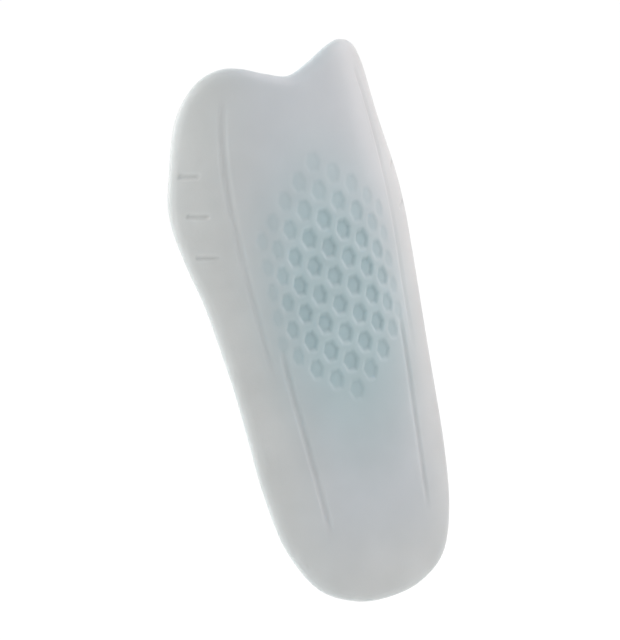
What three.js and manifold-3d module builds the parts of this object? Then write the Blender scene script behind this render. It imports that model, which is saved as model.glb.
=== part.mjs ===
// Ski shin pad: one moulding of soft gel that curves round the front of a shin.
// Millimetres, +Z up the leg. The front of the pad faces -Y and the shin lies on the +Y side.
// The origin is on the skin face, on the centre line, halfway down the pad.
import * as THREE from "three";
import { mergeVertices } from "three/addons/utils/BufferGeometryUtils.js";
import Module from "manifold-3d";

// Driving dimensions
const LENGTH = 200;
const CORE_THICKNESS = 4.6;
const WING_THICKNESS = 3.2;
const RIM_HEIGHT = 0.7;
const OUTER_RIM_REACH = 4;
const SKIN_RIM_REACH = 1.5;
const THINNING_START = 0.5;
const THINNING_END = 1.5;
const END_TAPER_BELOW = 160;
const GEL_COLOUR = 0xbdc5c9;
const GEL_ROUGHNESS = 0.45;

// Edge of the pad laid flat, from the dip at the top round one side to the lower end:
// millimetres across from the centre line and below the lobe tops.
const EDGE = [
  { across: 0, below: 8 },
  { across: 10, below: 5.2 },
  { across: 20, below: 1.3 },
  { across: 27, below: 0 },
  { across: 34, below: 1.6 },
  { across: 39, below: 4.9 },
  { across: 44.5, below: 11.2 },
  { across: 48, below: 17.6 },
  { across: 52.3, below: 31 },
  { across: 55.6, below: 43.5 },
  { across: 56, below: 52 },
  { across: 53.8, below: 66 },
  { across: 50.5, below: 80.5 },
  { across: 48.3, below: 95 },
  { across: 46, below: 114 },
  { across: 44.6, below: 132 },
  { across: 43, below: 152 },
  { across: 38.5, below: 174 },
  { across: 29, below: 190.5 },
  { across: 15, below: 198 },
  { across: 0, below: LENGTH },
];

// Cross sections of the worn form, on the skin face: a shallow arc across the middle and a tighter arc
// round each side, set back from the plane of the origin.
const MIDDLE_RADIUS = 230;
const MIDDLE_HALF_WIDTH = 20;
const SECTIONS = [
  { below: 0, sideRadius: 29, setback: 1.2 },
  { below: 25, sideRadius: 33, setback: 0.5 },
  { below: 60, sideRadius: 46, setback: 0 },
  { below: LENGTH / 2, sideRadius: 54, setback: 0 },
  { below: 150, sideRadius: 54, setback: -0.4 },
  { below: LENGTH, sideRadius: 48, setback: 0 },
];

// Flex grooves on each side of the thick middle: shallow round hollows that run out at both ends, a long one
// that follows the edge and a lower one set inside it.
const GROOVE_DEPTH = 0.5;
const GROOVE_RADIUS = 2.8;
const LONG_GROOVE = [
  { across: 28.8, below: 9, depth: 0 },
  { across: 30.9, below: 16, depth: GROOVE_DEPTH },
  { across: 33.1, below: 28, depth: GROOVE_DEPTH },
  { across: 34.3, below: 42, depth: GROOVE_DEPTH },
  { across: 34.7, below: 56, depth: GROOVE_DEPTH },
  { across: 34.3, below: 73, depth: GROOVE_DEPTH },
  { across: 33.2, below: 89, depth: GROOVE_DEPTH },
  { across: 32.2, below: 105, depth: GROOVE_DEPTH },
  { across: 31.3, below: 118, depth: 0 },
];
const LOWER_GROOVE = [
  { across: 27, below: 101, depth: 0 },
  { across: 26.9, below: 108, depth: GROOVE_DEPTH },
  { across: 26.2, below: 120, depth: GROOVE_DEPTH },
  { across: 25.1, below: 134, depth: GROOVE_DEPTH },
  { across: 23.9, below: 150, depth: GROOVE_DEPTH },
  { across: 22.9, below: 164, depth: GROOVE_DEPTH },
  { across: 22.3, below: 174, depth: 0 },
];
const GROOVE_STEPS_PER_ROW = 3;

// Short cross grooves on each wing, their inner ends lower.
const TICK_ROWS_BELOW = [35, 49.5, 64.5];
const TICK_ACROSS = 46;
const TICK_LENGTH = 8;
const TICK_TILT = THREE.MathUtils.degToRad(11);
const TICK_RADIUS = 1.1;
const TICK_DEPTH = 0.5;

// Honeycomb: columns of sunk cells from the centre line outwards, each with one cell fewer, and the cells
// narrower, closer and shallower towards the field's margin.
const CELL_COLUMNS = [
  { across: 0, width: 7.9, pitch: 10.4 },
  { across: 7.9, width: 7.7, pitch: 10.3 },
  { across: 15.4, width: 7, pitch: 10.2 },
  { across: 21.8, width: 5.7, pitch: 9.8 },
  { across: 26.6, width: 4.8, pitch: 9.4 },
];
const CENTRE_COLUMN_CELLS = 9;
const FIELD_BELOW = 81.5;
const DEEPEST_CELLS_DOWN = 0.7;
const FADE_START_CELLS = 2;
const FADE_END_CELLS = 4.2;
const RIB_WIDTH = 1.8;
const CELL_DEPTH = 0.9;
const MARGIN_CELL_DEPTH = 0.22;
const CELL_FLOOR_SHARE = 0.6;

// Fineness of the base mesh
const EDGE_SAMPLES = 108;
const RIM_RING_INSETS = [0, 0.45, 1.3, 2.5, 4.2];
const INNER_RINGS = 10;
const SPINE_TOP_BELOW = 32;
const SPINE_BOTTOM_BELOW = 164;
const BAR_SIDES = 8;
const CAP_STEPS = 2;
const WELD_DISTANCE = 1e-3;

const wasm = await Module();
wasm.setup();

// Smooth reading of the named columns of a table at any place along its key column.
function tableReader(rows, key, columns) {
  const places = rows.map((row) => row[key]);
  const values = rows.flatMap((row) => columns.map((column) => row[column]));
  const curve = new THREE.CubicInterpolant(places, values, columns.length);
  return (place) => [...curve.evaluate(place)];
}

const sectionAt = tableReader(SECTIONS, "below", ["sideRadius", "setback"]);
const grooveAt = tableReader(LONG_GROOVE, "below", ["across"]);

// A place on the worn skin face, and the direction out of the pad's front there.
function skinFace(across, below) {
  const [sideRadius, setback] = sectionAt(below);
  const side = Math.sign(across);
  const reach = Math.abs(across);
  const middle = Math.min(reach, MIDDLE_HALF_WIDTH);
  const bend = middle / MIDDLE_RADIUS;
  const angle = bend + (reach - middle) / sideRadius;
  const sideways = MIDDLE_RADIUS * Math.sin(bend) + sideRadius * (Math.sin(angle) - Math.sin(bend));
  const depth = MIDDLE_RADIUS * (1 - Math.cos(bend)) + sideRadius * (Math.cos(bend) - Math.cos(angle));
  return {
    point: new THREE.Vector3(side * sideways, setback + depth, LENGTH / 2 - below),
    outward: new THREE.Vector3(side * Math.sin(angle), -Math.cos(angle), 0),
  };
}

function raised(across, below, height) {
  const { point, outward } = skinFace(across, below);
  return point.addScaledVector(outward, height);
}

// The gel is thick in the middle and thins to the wings, over a band about the long groove, and to the
// lower end.
function thicknessAt(across, below) {
  const [groove] = grooveAt(below);
  const share = Math.abs(across) / groove;
  const wing = THREE.MathUtils.smoothstep(share, THINNING_START, THINNING_END);
  const end = THREE.MathUtils.smoothstep(below, END_TAPER_BELOW, LENGTH);
  const core = (1 - wing) * (1 - end);
  return THREE.MathUtils.lerp(WING_THICKNESS, CORE_THICKNESS, core);
}

// Quarter-round rise from the rim, complete at the given reach.
function rimRise(inset, reach) {
  const share = Math.min(inset / reach, 1);
  return Math.sqrt(1 - (1 - share) ** 2);
}

function outerHeight(across, below, inset) {
  const thickness = thicknessAt(across, below);
  return THREE.MathUtils.lerp(RIM_HEIGHT, thickness, rimRise(inset, OUTER_RIM_REACH));
}

function skinHeight(inset) {
  return RIM_HEIGHT * (1 - rimRise(inset, SKIN_RIM_REACH));
}

// Evenly spaced places along the whole edge, both sides, starting at the dip.
function edgePlaces() {
  const oneSide = EDGE.map((row) => new THREE.Vector3(row.across, row.below, 0));
  const inner = oneSide.slice(1, -1).reverse();
  const otherSide = inner.map((place) => new THREE.Vector3(-place.x, place.y, 0));
  const loop = new THREE.CatmullRomCurve3([...oneSide, ...otherSide], true, "centripetal");
  return loop.getSpacedPoints(EDGE_SAMPLES).slice(0, EDGE_SAMPLES);
}

// Places from an edge point in to the spine on the centre line, with their distance in from the edge.
function placesInwards(edge) {
  const spine = THREE.MathUtils.clamp(edge.y, SPINE_TOP_BELOW, SPINE_BOTTOM_BELOW);
  const anchor = new THREE.Vector3(0, spine, 0);
  const reach = edge.distanceTo(anchor);
  const lastRim = RIM_RING_INSETS.at(-1);
  const insets = [...RIM_RING_INSETS];
  for (let ring = 1; ring <= INNER_RINGS; ring++) {
    insets.push(THREE.MathUtils.lerp(lastRim, reach, ring / INNER_RINGS));
  }
  return insets.map((inset) => {
    const place = edge.clone().lerp(anchor, inset / reach);
    return { across: place.x, below: place.y, inset };
  });
}

// Triangles of one face of the pad: quads between neighbouring spokes, from the edge to the spine.
function addFace(triangles, spokes, facesOut) {
  spokes.forEach((spoke, index) => {
    const next = spokes[(index + 1) % spokes.length];
    for (let ring = 0; ring + 1 < spoke.length; ring++) {
      const [a, b] = [spoke[ring], next[ring]];
      const [c, d] = [next[ring + 1], spoke[ring + 1]];
      triangles.push(...(facesOut ? [a, d, c, a, c, b] : [a, b, c, a, c, d]));
    }
  });
}

// Merged geometry of a triangle list, without the triangles that close up at the ends of the spine.
function closedGeometry(triangles) {
  const loose = new THREE.BufferGeometry().setFromPoints(triangles);
  const merged = mergeVertices(loose, WELD_DISTANCE);
  const kept = [];
  for (let i = 0; i < merged.index.count; i += 3) {
    const corners = [0, 1, 2].map((step) => merged.index.getX(i + step));
    if (new Set(corners).size === 3) kept.push(...corners);
  }
  merged.setIndex(kept);
  return merged;
}

function baseGeometry() {
  const spokes = edgePlaces().map(placesInwards);
  const outer = spokes.map((spoke) =>
    spoke.map(({ across, below, inset }) => raised(across, below, outerHeight(across, below, inset))),
  );
  const skin = spokes.map((spoke) =>
    spoke.map(({ across, below, inset }) => raised(across, below, skinHeight(inset))),
  );
  const triangles = [];
  addFace(triangles, outer, true);
  addFace(triangles, skin, false);
  return closedGeometry(triangles);
}

// Moves a cutter from its own frame to the front face: X across, Y up the leg, Z out of the front.
function placeOnFront(geometry, across, below) {
  const { outward } = skinFace(across, below);
  const up = new THREE.Vector3(0, 0, 1);
  const sideways = new THREE.Vector3().crossVectors(up, outward);
  const frame = new THREE.Matrix4().makeBasis(sideways, up, outward);
  frame.setPosition(raised(across, below, thicknessAt(across, below)));
  return geometry.applyMatrix4(frame);
}

// Cell of the honeycomb: a six-sided pocket, narrower at its floor.
function cellCutter(across, below, width, pitch, depth) {
  const mouth = (pitch - RIB_WIDTH) / Math.sqrt(3);
  const floor = mouth * CELL_FLOOR_SHARE;
  const cutter = new THREE.CylinderGeometry(2 * mouth - floor, floor, 2 * depth, 6, 1, false, Math.PI / 2);
  cutter.rotateX(Math.PI / 2);
  const regularWidth = (pitch * Math.sqrt(3)) / 2;
  cutter.scale(width / regularWidth, 1, 1);
  return placeOnFront(cutter, across, below);
}

function honeycombCutters() {
  const cutters = [];
  CELL_COLUMNS.forEach(({ across, width, pitch }, column) => {
    const cells = CENTRE_COLUMN_CELLS - column;
    const sides = column === 0 ? [1] : [-1, 1];
    for (let cell = 0; cell < cells; cell++) {
      const cellsDown = cell - (cells - 1) / 2;
      const offCentre = Math.hypot(column, cellsDown - DEEPEST_CELLS_DOWN);
      const fade = THREE.MathUtils.smoothstep(offCentre, FADE_START_CELLS, FADE_END_CELLS);
      const depth = THREE.MathUtils.lerp(CELL_DEPTH, MARGIN_CELL_DEPTH, fade);
      const below = FIELD_BELOW + cellsDown * pitch;
      cutters.push(...sides.map((side) => cellCutter(side * across, below, width, pitch, depth)));
    }
  });
  return cutters;
}

// Flex groove: a round bar along the groove's rows, lifted so that it cuts to their depth.
function grooveCutter(rows, side) {
  const places = rows.map(({ across, below, depth }) =>
    raised(side * across, below, thicknessAt(across, below) + GROOVE_RADIUS - depth),
  );
  const bar = new THREE.Shape().absarc(0, 0, GROOVE_RADIUS, 0, 2 * Math.PI);
  return new THREE.ExtrudeGeometry(bar, {
    steps: GROOVE_STEPS_PER_ROW * rows.length,
    curveSegments: BAR_SIDES,
    bevelEnabled: false,
    extrudePath: new THREE.CatmullRomCurve3(places, false, "centripetal"),
  });
}

function tickCutters(side) {
  const straight = TICK_LENGTH - 2 * TICK_RADIUS;
  return TICK_ROWS_BELOW.map((below) => {
    const cutter = new THREE.CapsuleGeometry(TICK_RADIUS, straight, CAP_STEPS, BAR_SIDES);
    cutter.rotateZ(Math.PI / 2 + side * TICK_TILT);
    cutter.translate(0, 0, TICK_RADIUS - TICK_DEPTH);
    return placeOnFront(cutter, side * TICK_ACROSS, below);
  });
}

function solidFrom(geometry) {
  geometry.deleteAttribute("normal");
  geometry.deleteAttribute("uv");
  const merged = mergeVertices(geometry, WELD_DISTANCE);
  const mesh = new wasm.Mesh({
    numProp: 3,
    vertProperties: merged.attributes.position.array,
    triVerts: new Uint32Array(merged.index.array),
  });
  return new wasm.Manifold(mesh);
}

function geometryFrom(solid) {
  const { vertProperties, triVerts } = solid.getMesh();
  const geometry = new THREE.BufferGeometry();
  geometry.setAttribute("position", new THREE.BufferAttribute(vertProperties, 3));
  geometry.setIndex(new THREE.BufferAttribute(triVerts, 1));
  geometry.computeVertexNormals();
  return geometry;
}

function gelPad() {
  const sides = [-1, 1];
  const cutters = honeycombCutters();
  for (const side of sides) {
    cutters.push(grooveCutter(LONG_GROOVE, side), grooveCutter(LOWER_GROOVE, side), ...tickCutters(side));
  }
  let solid = solidFrom(baseGeometry());
  for (const cutter of cutters) {
    solid = solid.subtract(solidFrom(cutter));
  }
  const material = new THREE.MeshStandardMaterial({
    color: GEL_COLOUR,
    roughness: GEL_ROUGHNESS,
    metalness: 0,
  });
  const pad = new THREE.Mesh(geometryFrom(solid), material);
  pad.name = "gel_pad";
  return pad;
}

const shinPad = new THREE.Group();
shinPad.name = "shin_pad";
shinPad.add(gelPad());

export default shinPad;
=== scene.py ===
"""Ski shin pad: one soft moulding of milky gel, dressed on its CAD frame."""
import math
from collections import namedtuple

import bpy
import numpy as np
from mathutils import Matrix, Vector
from mathutils.kdtree import KDTree


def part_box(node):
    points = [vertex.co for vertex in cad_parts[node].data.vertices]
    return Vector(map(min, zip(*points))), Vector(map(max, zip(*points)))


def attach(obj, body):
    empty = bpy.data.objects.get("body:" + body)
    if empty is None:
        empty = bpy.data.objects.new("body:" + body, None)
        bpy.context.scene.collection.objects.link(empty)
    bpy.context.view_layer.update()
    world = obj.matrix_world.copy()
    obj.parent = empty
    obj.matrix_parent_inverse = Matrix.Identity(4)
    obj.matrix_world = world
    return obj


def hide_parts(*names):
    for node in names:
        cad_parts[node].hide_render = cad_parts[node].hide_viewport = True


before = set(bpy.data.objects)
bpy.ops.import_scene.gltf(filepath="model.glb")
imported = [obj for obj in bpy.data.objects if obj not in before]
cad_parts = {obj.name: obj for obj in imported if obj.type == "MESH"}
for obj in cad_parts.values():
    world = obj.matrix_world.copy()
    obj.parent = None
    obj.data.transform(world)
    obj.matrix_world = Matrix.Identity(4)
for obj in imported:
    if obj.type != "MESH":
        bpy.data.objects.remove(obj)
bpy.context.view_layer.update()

bl_info = {
    "name": "Ski shin pad",
    "version": (1, 0, 0),
    "blender": (4, 5, 0),
    "location": "3D View > Sidebar > Shin Pad",
    "description": "Builds a moulded gel shin pad and its stage",
    "category": "Object",
}

MM = 0.001
PAD_LOW, PAD_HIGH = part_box("gel_pad")
PAD_TOP = PAD_HIGH.z
PAD_LENGTH = (PAD_HIGH.z - PAD_LOW.z) / MM

# The pad laid flat is measured in millimetres across from its centre line and below its lobe tops.
FlatPlace = namedtuple("FlatPlace", "across below")
SectionRow = namedtuple("SectionRow", "below side_radius setback")
GrooveRow = namedtuple("GrooveRow", "across below depth_share")
CellColumn = namedtuple("CellColumn", "across width pitch")
SoftBox = namedtuple("SoftBox", "name place size power colour")

# Edge of the pad laid flat, from the dip at the top round one side to the lower end.
EDGE = (
    FlatPlace(0, 8),
    FlatPlace(10, 5.2),
    FlatPlace(20, 1.3),
    FlatPlace(27, 0),
    FlatPlace(34, 1.6),
    FlatPlace(39, 4.9),
    FlatPlace(44.5, 11.2),
    FlatPlace(48, 17.6),
    FlatPlace(52.3, 31),
    FlatPlace(55.6, 43.5),
    FlatPlace(56, 52),
    FlatPlace(53.8, 66),
    FlatPlace(50.5, 80.5),
    FlatPlace(48.3, 95),
    FlatPlace(46, 114),
    FlatPlace(44.6, 132),
    FlatPlace(43, 152),
    FlatPlace(38.5, 174),
    FlatPlace(29, 190.5),
    FlatPlace(15, 198),
    FlatPlace(0, PAD_LENGTH),
)
SHOULDER_ROW = 6
FOOT_CORNER_ROW = 18
SAMPLES_PER_ROW = 200

# Cross sections of the worn form, on the skin face: a shallow arc across the middle and a tighter arc
# round each side, set back from the plane of the origin.
MIDDLE_RADIUS = 230
MIDDLE_HALF_WIDTH = 20
SECTIONS = (
    SectionRow(0, 29, 1.2),
    SectionRow(25, 33, 0.5),
    SectionRow(60, 46, 0),
    SectionRow(PAD_LENGTH / 2, 54, 0),
    SectionRow(150, 54, -0.4),
    SectionRow(PAD_LENGTH, 48, 0),
)

# Lines of the flex grooves beside the thick middle: a long one that follows the edge and is shallower
# beside the honeycomb, and a lower one set inside it. Each runs out at both ends.
LONG_GROOVE = (
    GrooveRow(28.8, 9, 0),
    GrooveRow(30.9, 16, 1),
    GrooveRow(33.1, 28, 1),
    GrooveRow(34.3, 42, 0.95),
    GrooveRow(34.7, 56, 0.65),
    GrooveRow(34.3, 73, 0.65),
    GrooveRow(33.2, 89, 0.7),
    GrooveRow(32.2, 105, 0.5),
    GrooveRow(31.3, 118, 0),
)
LOWER_GROOVE = (
    GrooveRow(27, 101, 0),
    GrooveRow(26.9, 108, 1),
    GrooveRow(26.2, 120, 1),
    GrooveRow(25.1, 134, 1),
    GrooveRow(23.9, 150, 1),
    GrooveRow(22.9, 164, 1),
    GrooveRow(22.3, 174, 0),
)
GROOVE_SAMPLES = 400

# From the middle to the wings the gel thins, and pales, over these bands of the long groove's distance.
THINNING_BAND = (0.5, 1.5)
PALING_BAND = (0.35, 1.4)
END_TAPER_BELOW = 160

# Short cross grooves on each wing, their inner ends lower.
TICK_ROWS_BELOW = (35, 49.5, 64.5)
TICK_ACROSS = 46
TICK_TILT = math.radians(11)

# Honeycomb: columns of sunk cells from the centre line outwards, each with one cell fewer, and the cells
# narrower, closer and shallower towards the field's margin. The fade is counted in cells.
CELL_COLUMNS = (
    CellColumn(0, 7.9, 10.4),
    CellColumn(7.9, 7.7, 10.3),
    CellColumn(15.4, 7, 10.2),
    CellColumn(21.8, 5.7, 9.8),
    CellColumn(26.6, 4.8, 9.4),
)
CENTRE_COLUMN_CELLS = 9
FIELD_BELOW = 81.5
DEEPEST_CELLS_DOWN = 0.7
FADE_BAND = (2, 4.2)
MARGIN_DEPTH_SHARE = 0.25
CELL_CORNER_POWER = 12
CELL_WALL_BAND = (0.55, 1.03)

# The gel is tinted in a soft patch about the honeycomb and down the middle.
TINT_BELOW = 92
TINT_HALF_WIDTH = 40
TINT_HALF_LENGTH = 70
TINT_BAND = (0.3, 1.1)

# The field shows this faintly through the gel on the skin face.
SKIN_TINT_SHARE = 0.5
SKIN_CELL_SHARE = 0.45

# Share of each groove's half width that its two soft walls take up.
GROOVE_WALL_SHARE = 0.8

# Spacing of the sheet's rows and columns: fine at the rim and in the relief, coarser on the wings and ends.
RIM_STEPS = (0.3, 0.4, 0.5, 0.6, 0.7, 0.8)
RELIEF_STEP = 0.62
WING_STEP = 0.7
END_STEP = 1.25
RELIEF_HALF_WIDTH = 36
RELIEF_BAND = (31, 131)

# The flat grid that the sheet starts from, and its wall before it is shaped.
GRID_SPAN = 2
GRID_WALL = 0.1

# Finish of the gel: clouds left by pouring, the grain of the tool, and how far light sinks in.
CLOUD_SPAN = 20 * MM
CLOUD_TONE = (0.97, 1.03)
GRAIN_SPAN = 1.2 * MM
GRAIN_HEIGHT = 0.3 * MM
GRAIN_STRENGTH = 0.1
ROUGHNESS = (0.36, 0.46)
GEL_IOR = 1.41
SINK_SHARE = 0.8
SINK_DEPTH = 4 * MM
SINK_BY_COLOUR = (1.0, 1.12, 1.18)

# Studio
FLOOR_SIZE = 24
FLOOR_DROP = 0.3
WORLD_STRENGTH = 1
OVERHEAD_STRENGTH = 0.4
OVERHEAD_SPREAD = math.radians(120)
SOFT_BOXES = (
    SoftBox("key_box", (0.34, -0.16, 0.17), 0.4, 0.9, "#FFEFF4"),
    SoftBox("fill_box", (-1.5, 0.1, 0.5), 1.2, 6.5, "#FFFFFF"),
    SoftBox("back_box", (-0.8, 0.7, 0.5), 0.6, 6, "#FFFFFF"),
)

# Camera: turned and raised as in the photograph, and rolled so that the pad leans in the frame.
CAMERA_AZIMUTH = math.radians(-38)
CAMERA_ELEVATION = math.radians(6.8)
CAMERA_LEAN = math.radians(11)
CAMERA_DISTANCE = 2.5
FRAME_FILL = 0.88
SENSOR_WIDTH = 36


def linear(hex_colour):
    """An sRGB hex colour as linear red, green and blue."""
    channels = [int(hex_colour[i:i + 2], 16) / 255 for i in (1, 3, 5)]
    return tuple(c / 12.92 if c <= 0.04045 else ((c + 0.055) / 1.055) ** 2.4 for c in channels)


def length_prop(name, description, millimetres):
    return bpy.props.FloatProperty(
        name=name,
        description=description,
        default=millimetres * MM,
        min=0,
        unit="LENGTH",
        precision=4,
    )


def colour_prop(name, description, hex_colour):
    return bpy.props.FloatVectorProperty(
        name=name,
        description=description,
        default=linear(hex_colour),
        size=3,
        min=0,
        max=1,
        subtype="COLOR",
    )


class ShinPadSizes(bpy.types.PropertyGroup):
    """Sizes of the gel moulding."""

    core: length_prop("Core", "Thickness of the gel in the middle", 4.6)
    wing: length_prop("Wing", "Thickness of the gel on the side wings", 3.2)
    rim_height: length_prop("Rim height", "Height of the parting line above the skin face", 0.7)
    rim_land: length_prop("Rim land", "Width of the flat left at the parting line", 0.5)
    rim_round: length_prop("Rim round", "Reach of the rounding on the front of the rim", 4)
    skin_round: length_prop("Skin round", "Reach of the rounding on the skin side of the rim", 1.5)
    groove_width: length_prop("Groove width", "Width of each flex groove", 3.4)
    groove_depth: length_prop("Groove depth", "Depth of each flex groove", 0.5)
    tick_length: length_prop("Cross groove length", "Length of the short grooves on the wings", 8)
    tick_width: length_prop("Cross groove width", "Width of the short grooves on the wings", 2.2)
    tick_depth: length_prop("Cross groove depth", "Depth of the short grooves on the wings", 0.5)
    rib_width: length_prop("Rib width", "Width of the ribs between cells", 1.8)
    cell_depth: length_prop("Cell depth", "Depth of the cells in the middle of the field", 0.9)


class ShinPadColours(bpy.types.PropertyGroup):
    """Colours of the gel and the stage."""

    core: colour_prop("Core", "Thick gel in the middle", "#A8ADB0")
    wing: colour_prop("Wing", "Thin gel on the wings", "#AEB0AF")
    tint: colour_prop("Tint", "Gel about the honeycomb", "#96A6A9")
    # Cell floors: the gel's deepest tint, darkened further as painted shade for the sunk cells.
    cell: colour_prop("Cell", "Gel on the floor of the cells", "#91A4A8")
    floor: colour_prop("Floor", "Pale studio floor", "#F4F4F4")


# Curves and tables


def hermite(start, end, leave, arrive, t):
    """A cubic between two values with the given slopes at its ends, at shares t of the way."""
    rest = 1 - t
    return (
        start * (1 + 2 * t) * rest ** 2
        + leave * t * rest ** 2
        + end * (1 + 2 * rest) * t ** 2
        - arrive * rest * t ** 2
    )


def read_table(rows, column, places):
    """A column of a table at places down the pad, on a smooth curve through its rows."""
    knots = np.array([row.below for row in rows], float)
    values = np.array([getattr(row, column) for row in rows], float)
    slopes = np.gradient(values, knots)
    places = np.clip(places, knots[0], knots[-1])
    span = np.clip(np.searchsorted(knots, places, side="right") - 1, 0, len(knots) - 2)
    width = knots[span + 1] - knots[span]
    t = (places - knots[span]) / width
    return hermite(values[span], values[span + 1], slopes[span] * width, slopes[span + 1] * width, t)


def smoothstep(value, band):
    low, high = band
    t = np.clip((value - low) / (high - low), 0, 1)
    return t * t * (3 - 2 * t)


def nearest(points, places):
    """For each place, the index of the nearest of the points and its distance."""
    tree = KDTree(len(points))
    for index, point in enumerate(points):
        tree.insert((*point, 0), index)
    tree.balance()
    found = [tree.find((*place, 0)) for place in places.reshape(-1, 2)]
    indices = np.array([index for _, index, _ in found]).reshape(places.shape[:-1])
    distances = np.array([distance for _, _, distance in found]).reshape(places.shape[:-1])
    return indices, distances


def edge_spans():
    """The closed edge, one run of points for each span between rows, on a centripetal Catmull-Rom curve."""
    side = [np.array(row, float) for row in EDGE]
    loop = side + [point * (-1, 1) for point in reversed(side[1:-1])]
    count = len(loop)
    t = np.linspace(0, 1, SAMPLES_PER_ROW, endpoint=False)[:, None]
    spans = []
    for i in range(count):
        before, start, end, after = (loop[(i + step) % count] for step in (-1, 0, 1, 2))
        first, middle, last = (
            np.linalg.norm(b - a) ** 0.5 for a, b in ((before, start), (start, end), (end, after))
        )
        leave = (start - before) / first - (end - before) / (first + middle) + (end - start) / middle
        arrive = (end - start) / middle - (after - start) / (middle + last) + (after - end) / last
        spans.append(hermite(start, end, leave * middle, arrive * middle, t))
    return spans


def along(points, shares):
    """Points at the given shares of a line's length."""
    steps = np.linalg.norm(np.diff(points, axis=0), axis=1)
    run = np.concatenate([[0], np.cumsum(steps)])
    return np.stack([np.interp(shares * run[-1], run, points[:, axis]) for axis in (0, 1)], axis=-1)


def spaced(length, fine_band, plain_step):
    """Shares from 0 to 1 of a length: fine at both rims and within the given band."""
    rim = np.cumsum((0,) + RIM_STEPS)
    stops = (rim[-1], *fine_band, length - rim[-1])
    places = [rim]
    for start, end, step in zip(stops, stops[1:], (plain_step, RELIEF_STEP, plain_step)):
        count = max(round((end - start) / step), 1)
        places.append(np.linspace(start, end, count + 1)[1:])
    places.append(length - rim[-2::-1])
    return np.concatenate(places) / length


def flat_sheet():
    """The pad laid flat: across, below and distance in from the edge at each row and column of a sheet."""
    spans = edge_spans()
    last = len(EDGE) - 1

    def edge_between(first, final):
        pieces = [spans[i % len(spans)] for i in range(first, final)]
        return np.concatenate(pieces + [spans[final % len(spans)][:1]])

    top = edge_between(-SHOULDER_ROW, SHOULDER_ROW)
    right = edge_between(SHOULDER_ROW, FOOT_CORNER_ROW)
    bottom = edge_between(FOOT_CORNER_ROW, 2 * last - FOOT_CORNER_ROW)[::-1]
    left = edge_between(2 * last - FOOT_CORNER_ROW, 2 * last - SHOULDER_ROW)[::-1]
    half_width = max(row.across for row in EDGE)
    fine_columns = (half_width - RELIEF_HALF_WIDTH, half_width + RELIEF_HALF_WIDTH)
    columns = spaced(2 * half_width, fine_columns, WING_STEP)
    rows = spaced(PAD_LENGTH, RELIEF_BAND, END_STEP)
    s, t = columns[None, :, None], rows[:, None, None]
    from_ends = (1 - t) * along(top, columns)[None] + t * along(bottom, columns)[None]
    from_sides = (1 - s) * along(left, rows)[:, None] + s * along(right, rows)[:, None]
    from_corners = (1 - t) * ((1 - s) * top[0] + s * top[-1]) + t * ((1 - s) * bottom[0] + s * bottom[-1])
    sheet = from_ends + from_sides - from_corners
    _, inset = nearest(np.concatenate(spans), sheet)
    inset[[0, -1], :] = 0
    inset[:, [0, -1]] = 0
    return sheet[..., 0], sheet[..., 1], inset


# Relief of the moulding, in millimetres


def rise(inset, reach):
    """Quarter-round rise from the rim, complete at the given reach."""
    return np.sqrt(1 - (1 - np.clip(inset / reach, 0, 1)) ** 2)


def hollow(depth, off, width):
    """Depth of a soft-walled hollow at a distance off its middle line."""
    return depth * (1 - smoothstep(off / (width / 2), (1 - GROOVE_WALL_SHARE, 1)))


def core_share(across, below, band):
    """1 in the middle, falling to 0 on the wings over the given band, and at the lower end."""
    groove = read_table(LONG_GROOVE, "across", below)
    wing = smoothstep(np.abs(across) / groove, band)
    end = smoothstep(below, (END_TAPER_BELOW, PAD_LENGTH))
    return (1 - wing) * (1 - end)


def flex_grooves(across, below, depth, width):
    """Depth of the flex grooves at each place."""
    places = np.stack([np.abs(across), below], axis=-1)
    deepest = np.zeros_like(across)
    for rows in (LONG_GROOVE, LOWER_GROOVE):
        line_below = np.linspace(rows[0].below, rows[-1].below, GROOVE_SAMPLES)
        line = np.stack([read_table(rows, "across", line_below), line_below], axis=-1)
        index, off = nearest(line, places)
        share = np.clip(read_table(rows, "depth_share", line_below), 0, 1)[index]
        deepest = np.maximum(deepest, share * hollow(depth, off, width))
    return deepest


def cross_grooves(across, below, depth, length, width):
    """Depth of the short grooves on the wings at each place."""
    deepest = np.zeros_like(across)
    for row in TICK_ROWS_BELOW:
        outward, upward = np.abs(across) - TICK_ACROSS, row - below
        lengthways = outward * math.cos(TICK_TILT) + upward * math.sin(TICK_TILT)
        sideways = upward * math.cos(TICK_TILT) - outward * math.sin(TICK_TILT)
        beyond = np.maximum(np.abs(lengthways) - (length - width) / 2, 0)
        deepest = np.maximum(deepest, hollow(depth, np.hypot(beyond, sideways), width))
    return deepest


def tint_share(across, below):
    """1 in the middle of the honeycomb, fading to 0 round it."""
    off = np.hypot(across / TINT_HALF_WIDTH, (below - TINT_BELOW) / TINT_HALF_LENGTH)
    return 1 - smoothstep(off, TINT_BAND)


def honeycomb(across, below, rib):
    """Share of the full cell depth at each place."""
    slant = math.sqrt(3) / 2
    deepest = np.zeros_like(across)
    for column, (centre, width, pitch) in enumerate(CELL_COLUMNS):
        cells = CENTRE_COLUMN_CELLS - column
        half = (pitch - rib) / 2
        dx = (np.abs(across) - centre) * pitch * slant / width
        for cell in range(cells):
            cells_down = cell - (cells - 1) / 2
            dy = below - FIELD_BELOW - cells_down * pitch
            sides = (dy, dx * slant + dy / 2, dx * slant - dy / 2)
            reach = sum(np.abs(side / half) ** CELL_CORNER_POWER for side in sides)
            reach = reach ** (1 / CELL_CORNER_POWER)
            fade = smoothstep(math.hypot(column, cells_down - DEEPEST_CELLS_DOWN), FADE_BAND)
            share = 1 - (1 - MARGIN_DEPTH_SHARE) * fade
            deepest = np.maximum(deepest, share * (1 - smoothstep(reach, CELL_WALL_BAND)))
    return deepest


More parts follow.
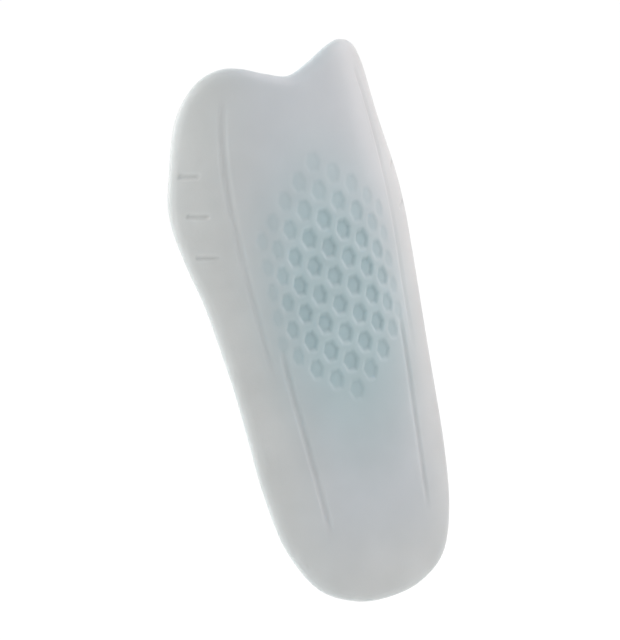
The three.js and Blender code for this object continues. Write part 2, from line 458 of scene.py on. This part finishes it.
def worn(across, below, height):
    """Places of the worn pad, in metres, at a height in millimetres above the skin face."""
    side_radius = read_table(SECTIONS, "side_radius", below)
    reach = np.abs(across)
    middle = np.minimum(reach, MIDDLE_HALF_WIDTH)
    bend = middle / MIDDLE_RADIUS
    angle = bend + (reach - middle) / side_radius
    sideways = MIDDLE_RADIUS * np.sin(bend) + side_radius * (np.sin(angle) - np.sin(bend))
    depth = MIDDLE_RADIUS * (1 - np.cos(bend)) + side_radius * (np.cos(bend) - np.cos(angle))
    x = np.sign(across) * (sideways + height * np.sin(angle))
    y = read_table(SECTIONS, "setback", below) + depth - height * np.cos(angle)
    return np.stack([x * MM, y * MM, PAD_TOP - below * MM], axis=-1)


# Materials

# Sockets of a Mix node that mixes colours.
MIX_A, MIX_B, MIX_RESULT = 6, 7, 2


def add_node(tree, kind, settings=None, links=None):
    """A node of the given kind, with its settings and links from other nodes' outputs to its inputs."""
    node = tree.nodes.new(kind)
    for name, value in (settings or {}).items():
        if isinstance(name, str) and hasattr(node, name):
            setattr(node, name, value)
        else:
            node.inputs[name].default_value = value
    for name, output in (links or {}).items():
        tree.links.new(output, node.inputs[name])
    return node


def milky_gel(colours):
    """Soft silicone gel from a fine matt mould: light sinks in, so shadows are pale and edges glow."""
    material = bpy.data.materials.new("milky_silicone_gel")
    material.use_nodes = True
    tree = material.node_tree
    tree.nodes.clear()
    place = add_node(tree, "ShaderNodeTexCoord").outputs["Object"]

    # Thin gel is paler and warmer than thick gel. The cell floors take the deepest tint, partly the gel's
    # own colour and partly painted shade that darkens the sunk cells.
    core = add_node(tree, "ShaderNodeAttribute", {"attribute_name": "core"})
    patch = add_node(tree, "ShaderNodeAttribute", {"attribute_name": "tint"})
    cell = add_node(tree, "ShaderNodeAttribute", {"attribute_name": "cell"})
    body = add_node(
        tree,
        "ShaderNodeMix",
        {"data_type": "RGBA", MIX_A: (*colours.wing, 1), MIX_B: (*colours.core, 1)},
        {"Factor": core.outputs["Fac"]},
    )
    tinted = add_node(
        tree,
        "ShaderNodeMix",
        {"data_type": "RGBA", MIX_B: (*colours.tint, 1)},
        {"Factor": patch.outputs["Fac"], MIX_A: body.outputs[MIX_RESULT]},
    )
    cell_tint_and_shade = add_node(
        tree,
        "ShaderNodeMix",
        {"data_type": "RGBA", MIX_B: (*colours.cell, 1)},
        {"Factor": cell.outputs["Fac"], MIX_A: tinted.outputs[MIX_RESULT]},
    )

    # Faint clouds, as in gel that was poured and set.
    cloud = add_node(
        tree,
        "ShaderNodeTexNoise",
        {"Scale": 1 / CLOUD_SPAN, "Detail": 2.0, "Roughness": 0.5},
        {"Vector": place},
    )
    drift = add_node(
        tree,
        "ShaderNodeMapRange",
        {"From Min": 0.3, "From Max": 0.7, "To Min": CLOUD_TONE[0], "To Max": CLOUD_TONE[1]},
        {"Value": cloud.outputs["Fac"]},
    )
    tone = add_node(
        tree,
        "ShaderNodeHueSaturation",
        links={"Color": cell_tint_and_shade.outputs[MIX_RESULT], "Value": drift.outputs["Result"]},
    )

    # The tool's blasted face leaves a grain, drawn coarser than it is so that it shows.
    grain = add_node(
        tree,
        "ShaderNodeTexNoise",
        {"Scale": 1 / GRAIN_SPAN, "Detail": 3.0},
        {"Vector": place},
    )
    bump = add_node(
        tree,
        "ShaderNodeBump",
        {"Strength": GRAIN_STRENGTH, "Distance": GRAIN_HEIGHT},
        {"Height": grain.outputs["Fac"]},
    )
    gloss = add_node(
        tree,
        "ShaderNodeMapRange",
        {"From Min": 0.25, "From Max": 0.75, "To Min": ROUGHNESS[0], "To Max": ROUGHNESS[1]},
        {"Value": cloud.outputs["Fac"]},
    )
    gel = add_node(
        tree,
        "ShaderNodeBsdfPrincipled",
        {
            "IOR": GEL_IOR,
            "Subsurface Weight": SINK_SHARE,
            "Subsurface Radius": SINK_BY_COLOUR,
            "Subsurface Scale": SINK_DEPTH,
        },
        {
            "Base Color": tone.outputs["Color"],
            "Roughness": gloss.outputs["Result"],
            "Normal": bump.outputs["Normal"],
        },
    )
    add_node(tree, "ShaderNodeOutputMaterial", links={"Surface": gel.outputs["BSDF"]})
    return material


def floor_paint(colours):
    """Painted studio floor: flat, pale and without gloss."""
    material = bpy.data.materials.new("pale_floor_paint")
    material.use_nodes = True
    tree = material.node_tree
    tree.nodes.clear()
    paint = add_node(tree, "ShaderNodeBsdfDiffuse", {"Color": (*colours.floor, 1)})
    add_node(tree, "ShaderNodeOutputMaterial", links={"Surface": paint.outputs["BSDF"]})
    return material


class SHINPAD_OT_gel_pad(bpy.types.Operator):
    """Model the gel pad: a sheet given its thickness, then shaped to the worn form with its relief"""

    bl_idname = "shinpad.gel_pad"
    bl_label = "Gel pad"

    def execute(self, context):
        across, below, inset = flat_sheet()
        rows, columns = across.shape
        bpy.ops.object.select_all(action="DESELECT")
        bpy.ops.mesh.primitive_grid_add(x_subdivisions=columns - 1, y_subdivisions=rows - 1, size=GRID_SPAN)
        pad = context.active_object
        pad.name = pad.data.name = "moulded_gel"
        grid = np.empty(len(pad.data.vertices) * 3)
        pad.data.vertices.foreach_get("co", grid)
        grid = grid.reshape(-1, 3)
        column = np.rint((0.5 + grid[:, 0] / GRID_SPAN) * (columns - 1)).astype(int)
        row = np.rint((0.5 - grid[:, 1] / GRID_SPAN) * (rows - 1)).astype(int)
        wall = pad.modifiers.new("wall", "SOLIDIFY")
        wall.thickness = GRID_WALL
        wall.offset = -1
        bpy.ops.object.modifier_apply(modifier=wall.name)
        if len(pad.data.vertices) != 2 * len(grid):
            raise RuntimeError("the wall doesn't have one skin point for each front point")
        front, skin, masks = self.faces(context.scene.shin_pad_sizes, across, below, inset)
        shaped = np.concatenate([front[row, column], skin[row, column]])
        pad.data.vertices.foreach_set("co", shaped.ravel())
        for name, (front_share, skin_share) in masks.items():
            shares = np.concatenate([front_share[row, column], skin_share[row, column]])
            pad.data.attributes.new(name, "FLOAT", "POINT").data.foreach_set("value", shares)
        pad.data.update()
        bpy.ops.object.mode_set(mode="EDIT")
        bpy.ops.mesh.select_all(action="SELECT")
        bpy.ops.mesh.normals_make_consistent(inside=False)
        bpy.ops.object.mode_set(mode="OBJECT")
        bpy.ops.object.shade_smooth()
        pad.data.materials.append(milky_gel(context.scene.shin_pad_colours))
        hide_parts("gel_pad")
        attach(pad, "root")
        return {"FINISHED"}

    def faces(self, sizes, across, below, inset):
        """Places of the front and skin faces, and the shares on each that colour them."""
        mm = {name: getattr(sizes, name) / MM for name in ShinPadSizes.__annotations__}
        thick = core_share(across, below, THINNING_BAND)
        cell = honeycomb(across, below, mm["rib_width"])
        thickness = mm["wing"] + (mm["core"] - mm["wing"]) * thick - mm["cell_depth"] * cell
        thickness -= flex_grooves(across, below, mm["groove_depth"], mm["groove_width"])
        thickness -= cross_grooves(across, below, mm["tick_depth"], mm["tick_length"], mm["tick_width"])
        foot = mm["rim_height"] + mm["rim_land"] / 2
        height = foot + (thickness - foot) * rise(inset, mm["rim_round"])
        lift = (mm["rim_height"] - mm["rim_land"] / 2) * (1 - rise(inset, mm["skin_round"]))
        core = core_share(across, below, PALING_BAND)
        tint = tint_share(across, below)
        masks = {
            "core": (core, core),
            "tint": (tint, SKIN_TINT_SHARE * tint),
            # The cell share carries the cells' tint and painted shade: it darkens the floors of the sunk
            # cells.
            "cell": (cell, SKIN_CELL_SHARE * cell),
        }
        return worn(across, below, height), worn(across, below, lift), masks


class SHINPAD_OT_stage(bpy.types.Operator):
    """Set the pale floor, the soft studio light and the camera"""

    bl_idname = "shinpad.stage"
    bl_label = "Stage"

    def execute(self, context):
        self.floor(context)
        self.lights(context)
        self.camera(context)
        return {"FINISHED"}

    def floor(self, context):
        bpy.ops.object.select_all(action="DESELECT")
        bpy.ops.mesh.primitive_plane_add(size=FLOOR_SIZE, location=(0, 0, PAD_LOW.z - FLOOR_DROP))
        floor = context.active_object
        floor.name = "pale_floor"
        floor.data.materials.append(floor_paint(context.scene.shin_pad_colours))

    def lights(self, context):
        world = bpy.data.worlds.new("studio")
        world.use_nodes = True
        sky = world.node_tree.nodes["Background"]
        sky.inputs["Color"].default_value = (1, 1, 1, 1)
        sky.inputs["Strength"].default_value = WORLD_STRENGTH
        context.scene.world = world
        context.scene.view_settings.view_transform = "Standard"
        for soft_box in SOFT_BOXES:
            light = bpy.data.lights.new(soft_box.name, "AREA")
            light.size = soft_box.size
            light.energy = soft_box.power
            light.color = linear(soft_box.colour)
            lamp = bpy.data.objects.new(soft_box.name, light)
            lamp.location = soft_box.place
            lamp.rotation_euler = (-Vector(soft_box.place)).to_track_quat("-Z", "Y").to_euler()
            context.collection.objects.link(lamp)
        overhead = bpy.data.lights.new("overhead", "SUN")
        overhead.energy = OVERHEAD_STRENGTH
        overhead.angle = OVERHEAD_SPREAD
        context.collection.objects.link(bpy.data.objects.new("overhead", overhead))

    def camera(self, context):
        back = Vector((
            math.sin(CAMERA_AZIMUTH) * math.cos(CAMERA_ELEVATION),
            -math.cos(CAMERA_AZIMUTH) * math.cos(CAMERA_ELEVATION),
            math.sin(CAMERA_ELEVATION),
        ))
        upright = (-back).to_track_quat("-Z", "Y").to_matrix()
        turn = upright @ Matrix.Rotation(-CAMERA_LEAN, 3, "Z")
        pad = bpy.data.objects["moulded_gel"]
        seen = np.array([vertex.co for vertex in pad.data.vertices]) @ np.array(turn)
        low, high = seen.min(axis=0), seen.max(axis=0)
        aim = turn @ Vector((low + high) / 2)
        frame_height = (high[1] - low[1]) / FRAME_FILL
        data = bpy.data.cameras.new("camera")
        data.sensor_width = SENSOR_WIDTH
        data.lens = SENSOR_WIDTH * CAMERA_DISTANCE / frame_height
        camera = bpy.data.objects.new("camera", data)
        camera.matrix_world = Matrix.Translation(aim + back * CAMERA_DISTANCE) @ turn.to_4x4()
        context.collection.objects.link(camera)
        context.scene.camera = camera


class SHINPAD_PT_panel(bpy.types.Panel):
    """Lists the pieces of the shin pad and its stage"""

    bl_label = "Shin pad"
    bl_idname = "SHINPAD_PT_panel"
    bl_space_type = "VIEW_3D"
    bl_region_type = "UI"
    bl_category = "Shin Pad"

    def draw(self, context):
        layout = self.layout
        for name in ShinPadSizes.__annotations__:
            layout.prop(context.scene.shin_pad_sizes, name)
        for name in ShinPadColours.__annotations__:
            layout.prop(context.scene.shin_pad_colours, name)
        layout.operator(SHINPAD_OT_gel_pad.bl_idname)
        layout.operator(SHINPAD_OT_stage.bl_idname)


CLASSES = (ShinPadSizes, ShinPadColours, SHINPAD_OT_gel_pad, SHINPAD_OT_stage, SHINPAD_PT_panel)


def register():
    for made in CLASSES:
        bpy.utils.register_class(made)
    bpy.types.Scene.shin_pad_sizes = bpy.props.PointerProperty(type=ShinPadSizes)
    bpy.types.Scene.shin_pad_colours = bpy.props.PointerProperty(type=ShinPadColours)


def unregister():
    del bpy.types.Scene.shin_pad_colours
    del bpy.types.Scene.shin_pad_sizes
    for made in reversed(CLASSES):
        bpy.utils.unregister_class(made)


def main():
    register()
    bpy.ops.shinpad.gel_pad()
    bpy.ops.shinpad.stage()


if __name__ == "__main__":
    main()
